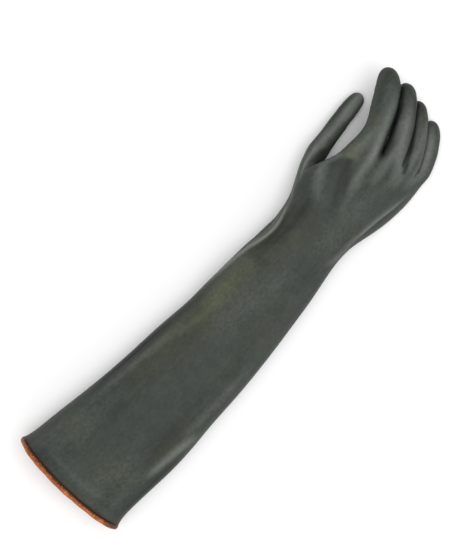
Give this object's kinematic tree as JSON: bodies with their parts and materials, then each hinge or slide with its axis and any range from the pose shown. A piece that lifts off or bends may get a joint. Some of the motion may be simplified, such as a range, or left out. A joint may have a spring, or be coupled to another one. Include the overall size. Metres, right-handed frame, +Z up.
{
  "type": "shoulder length rubber glove",
  "caption": "Shoulder length dipped rubber work glove for the right hand, dark green black outside with a rolled orange cuff edge, lying palm down.",
  "frame": {"origin": "on the floor, under the middle of the glove's bounding box", "axes": "+X along the glove from the cuff to the fingertips, +Y to the thumb side, +Z up from the floor to the back of the hand"},
  "size_m": [0.6106, 0.1548, 0.0743],
  "materials": {
    "dipped_rubber": "satin, dipped, faintly chalky",
    "orange_rubber": "satin, dipped"
  },
  "bodies": {
    "root": {"glove_shell": "dipped_rubber", "cuff_rim": "orange_rubber"}
  },
  "joints": []
}
